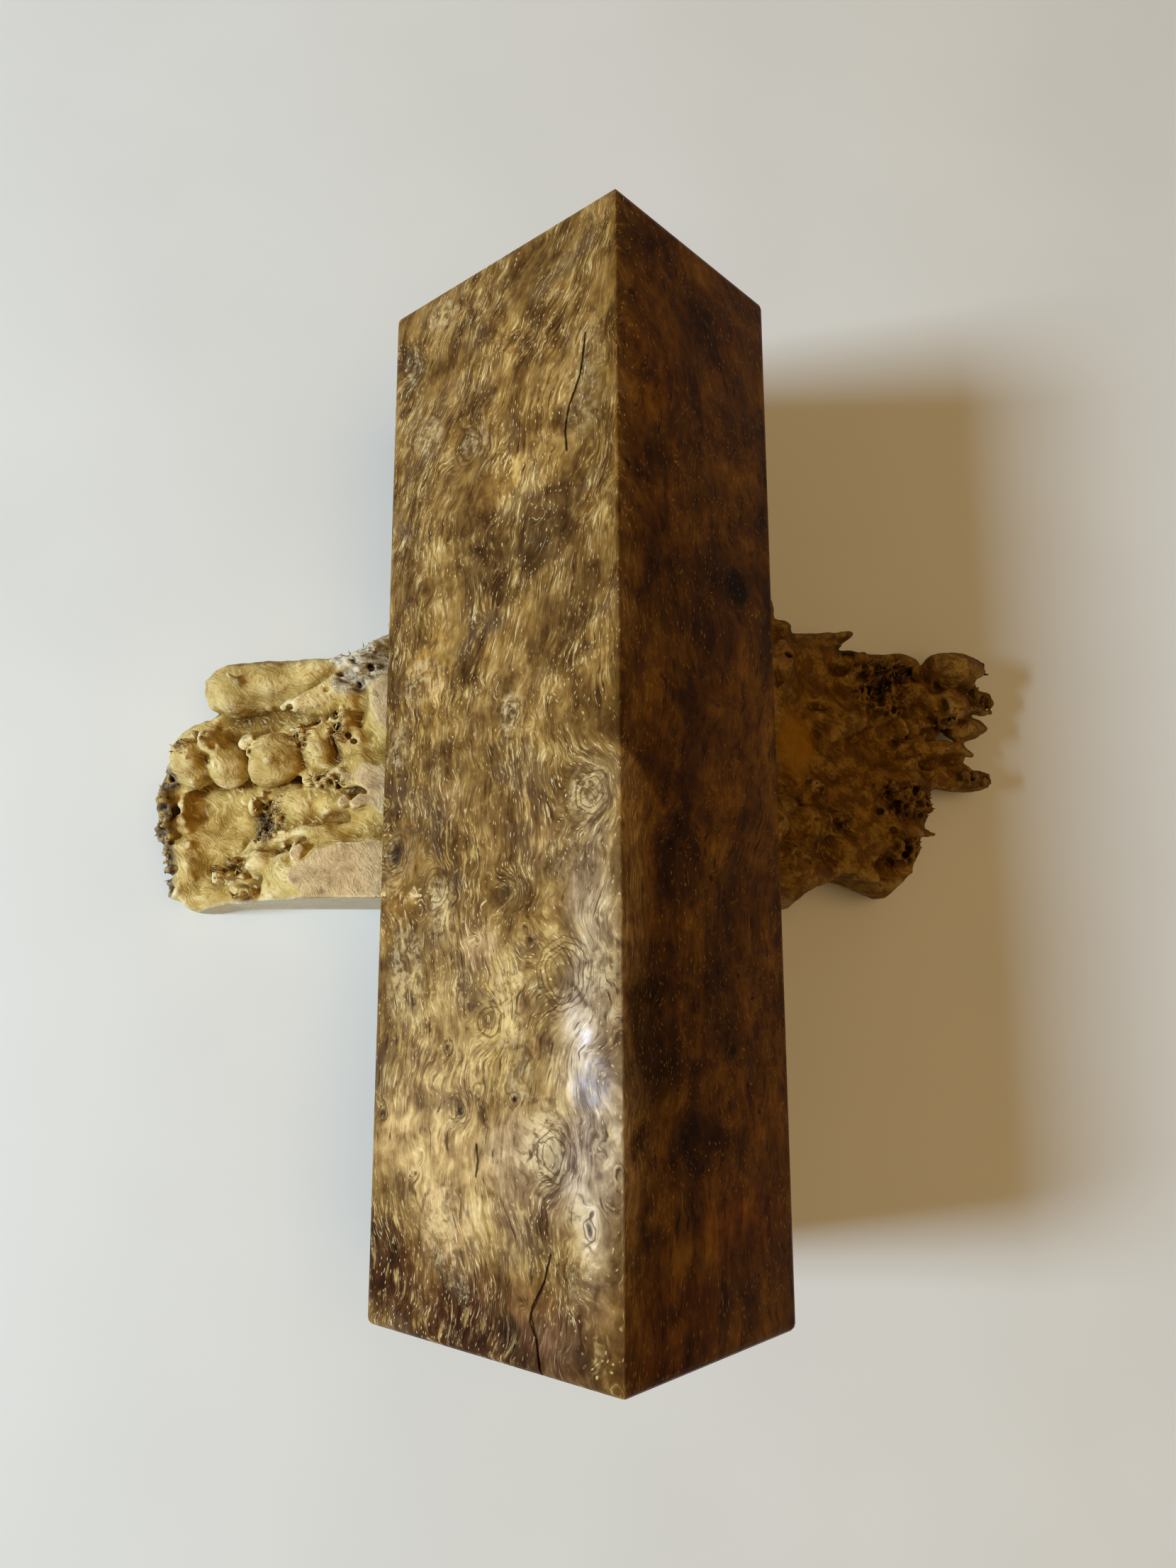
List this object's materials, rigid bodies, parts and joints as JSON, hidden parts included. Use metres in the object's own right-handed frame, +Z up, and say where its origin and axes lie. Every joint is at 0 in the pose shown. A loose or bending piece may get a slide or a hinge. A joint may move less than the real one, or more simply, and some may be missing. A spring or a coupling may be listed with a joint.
{
  "type": "amboyna burl block on a raw burl stand",
  "caption": "Squared and polished burl block standing on one long edge in the V notch of a knobbly raw piece of the same burl.",
  "frame": {"origin": "middle of the object's box on the table, under the raw piece", "axes": "+Z up; +Y along the block's length, away from the viewer; +X along the raw piece, to the viewer's right"},
  "size_m": [0.2006, 0.2032, 0.0898],
  "materials": {
    "polished_burl": "satin polish over golden brown burl figure with dark eyes and fine pores",
    "raw_burl": "raw ochre wood skin, matt, with sawn facets, dark pits and grey-brown bark left in patches"
  },
  "bodies": {
    "root": {"polished_block": "polished_burl", "raw_burl_stand": "raw_burl"}
  },
  "joints": []
}
